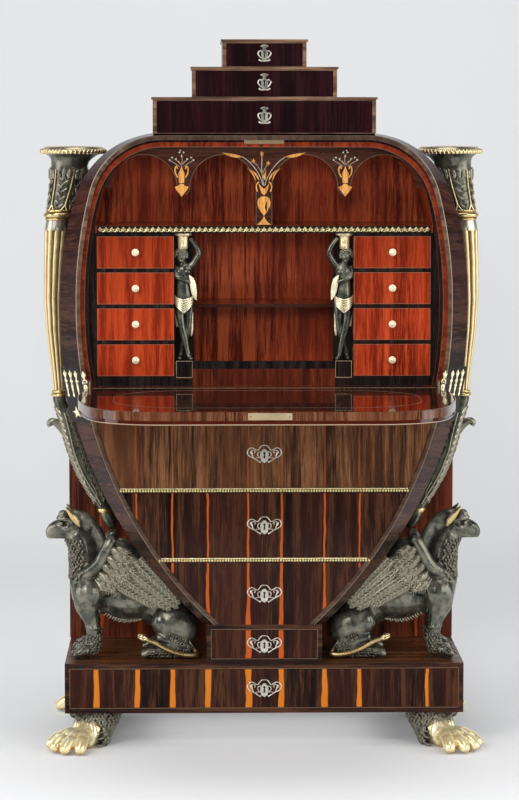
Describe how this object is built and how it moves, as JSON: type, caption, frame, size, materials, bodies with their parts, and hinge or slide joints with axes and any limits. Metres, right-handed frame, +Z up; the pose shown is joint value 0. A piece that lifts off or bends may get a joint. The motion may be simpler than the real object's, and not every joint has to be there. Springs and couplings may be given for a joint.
{
  "type": "fall-front desk",
  "caption": "Oval fall-front desk on a plinth with paw feet: hinged writing flap, fitted interior, sliding drawers, stepped top, griffin and cornucopia supports.",
  "frame": {"origin": "middle of the footprint on the floor, with the fall lowered", "axes": "+X to the right seen from the front, +Y from front to back, +Z up"},
  "size_m": [0.97, 0.983, 1.502],
  "materials": {
    "dark_rosewood": "french polished dark striped veneer",
    "case_veneer": "french polished brown veneer",
    "red_mahogany": "french polished red mahogany",
    "ebonised": "ebonised and polished",
    "secondary_oak": "plain planed oak",
    "gilt": "burnished water gilding over carved wood",
    "patinated_bronze": "carved wood with a dark bronze patina",
    "brass": "worn brass",
    "silvered": "pierced silvered metal",
    "knob_ivory": "pale turned brass"
  },
  "bodies": {
    "desk": {"arcade_panel": "dark_rosewood", "case_back": "red_mahogany", "case_side_left": "case_veneer", "case_side_right": "case_veneer", "drawer_nest_left": "ebonised", "drawer_nest_right": "ebonised", "dust_boards": "secondary_oak", "figure_support_left": "patinated_bronze", "figure_support_right": "patinated_bronze", "gilt_beading": "gilt", "griffin_left": "patinated_bronze", "griffin_right": "patinated_bronze", "hinge_plates": "brass", "horn_left": "patinated_bronze", "horn_right": "patinated_bronze", "interior_shelves": "red_mahogany", "lower_back_panel": "dark_rosewood", "paw_foot_front_left": "gilt", "paw_foot_front_right": "gilt", "paw_foot_rear_left": "gilt", "paw_foot_rear_right": "gilt", "plinth_case": "dark_rosewood", "stepped_case": "case_veneer", "strike_plate": "brass", "waist_case": "dark_rosewood", "writing_bed": "red_mahogany"},
    "fall": {"fall_board": "red_mahogany", "fall_brassware": "brass"},
    "tier_drawer_lower": {"tier_drawer_lower": "dark_rosewood", "tier_drawer_lock_lower": "silvered"},
    "tier_drawer_middle": {"tier_drawer_middle": "dark_rosewood", "tier_drawer_lock_middle": "silvered"},
    "tier_drawer_upper": {"tier_drawer_upper": "dark_rosewood", "tier_drawer_lock_upper": "silvered"},
    "big_drawer_upper": {"big_drawer_upper": "dark_rosewood", "big_drawer_lock_upper": "silvered"},
    "big_drawer_middle": {"big_drawer_middle": "dark_rosewood", "big_drawer_lock_middle": "silvered"},
    "big_drawer_lower": {"big_drawer_lower": "dark_rosewood", "big_drawer_lock_lower": "silvered"},
    "waist_drawer": {"waist_drawer": "dark_rosewood", "waist_drawer_lock": "silvered"},
    "plinth_drawer": {"plinth_drawer": "dark_rosewood", "plinth_drawer_lock": "silvered"},
    "small_drawer_left_1": {"small_drawer_left_1": "red_mahogany", "knob_left_1": "knob_ivory"},
    "small_drawer_left_2": {"small_drawer_left_2": "red_mahogany", "knob_left_2": "knob_ivory"},
    "small_drawer_left_3": {"small_drawer_left_3": "red_mahogany", "knob_left_3": "knob_ivory"},
    "small_drawer_left_4": {"small_drawer_left_4": "red_mahogany", "knob_left_4": "knob_ivory"},
    "small_drawer_right_1": {"small_drawer_right_1": "red_mahogany", "knob_right_1": "knob_ivory"},
    "small_drawer_right_2": {"small_drawer_right_2": "red_mahogany", "knob_right_2": "knob_ivory"},
    "small_drawer_right_3": {"small_drawer_right_3": "red_mahogany", "knob_right_3": "knob_ivory"},
    "small_drawer_right_4": {"small_drawer_right_4": "red_mahogany", "knob_right_4": "knob_ivory"}
  },
  "joints": [
    {"name": "fall_hinge", "type": "hinge", "parent": "desk", "child": "fall", "pos_m": [0, 0.04222, 0.7575], "axis": [1, 0, 0], "range_deg": [-90, 0]},
    {"name": "tier_drawer_lower_slide", "type": "slide", "parent": "desk", "child": "tier_drawer_lower", "axis": [0, -1, 0], "range_m": [0, 0.19]},
    {"name": "tier_drawer_middle_slide", "type": "slide", "parent": "desk", "child": "tier_drawer_middle", "axis": [0, -1, 0], "range_m": [0, 0.19]},
    {"name": "tier_drawer_upper_slide", "type": "slide", "parent": "desk", "child": "tier_drawer_upper", "axis": [0, -1, 0], "range_m": [0, 0.19]},
    {"name": "big_drawer_upper_slide", "type": "slide", "parent": "desk", "child": "big_drawer_upper", "axis": [0, -1, 0], "range_m": [0, 0.22]},
    {"name": "big_drawer_middle_slide", "type": "slide", "parent": "desk", "child": "big_drawer_middle", "axis": [0, -1, 0], "range_m": [0, 0.22]},
    {"name": "big_drawer_lower_slide", "type": "slide", "parent": "desk", "child": "big_drawer_lower", "axis": [0, -1, 0], "range_m": [0, 0.22]},
    {"name": "waist_drawer_slide", "type": "slide", "parent": "desk", "child": "waist_drawer", "axis": [0, -1, 0], "range_m": [0, 0.2]},
    {"name": "plinth_drawer_slide", "type": "slide", "parent": "desk", "child": "plinth_drawer", "axis": [0, -1, 0], "range_m": [0, 0.22]},
    {"name": "small_drawer_left_1_slide", "type": "slide", "parent": "desk", "child": "small_drawer_left_1", "axis": [0, -1, 0], "range_m": [0, 0.18]},
    {"name": "small_drawer_left_2_slide", "type": "slide", "parent": "desk", "child": "small_drawer_left_2", "axis": [0, -1, 0], "range_m": [0, 0.18]},
    {"name": "small_drawer_left_3_slide", "type": "slide", "parent": "desk", "child": "small_drawer_left_3", "axis": [0, -1, 0], "range_m": [0, 0.18]},
    {"name": "small_drawer_left_4_slide", "type": "slide", "parent": "desk", "child": "small_drawer_left_4", "axis": [0, -1, 0], "range_m": [0, 0.18]},
    {"name": "small_drawer_right_1_slide", "type": "slide", "parent": "desk", "child": "small_drawer_right_1", "axis": [0, -1, 0], "range_m": [0, 0.18]},
    {"name": "small_drawer_right_2_slide", "type": "slide", "parent": "desk", "child": "small_drawer_right_2", "axis": [0, -1, 0], "range_m": [0, 0.18]},
    {"name": "small_drawer_right_3_slide", "type": "slide", "parent": "desk", "child": "small_drawer_right_3", "axis": [0, -1, 0], "range_m": [0, 0.18]},
    {"name": "small_drawer_right_4_slide", "type": "slide", "parent": "desk", "child": "small_drawer_right_4", "axis": [0, -1, 0], "range_m": [0, 0.18]}
  ]
}
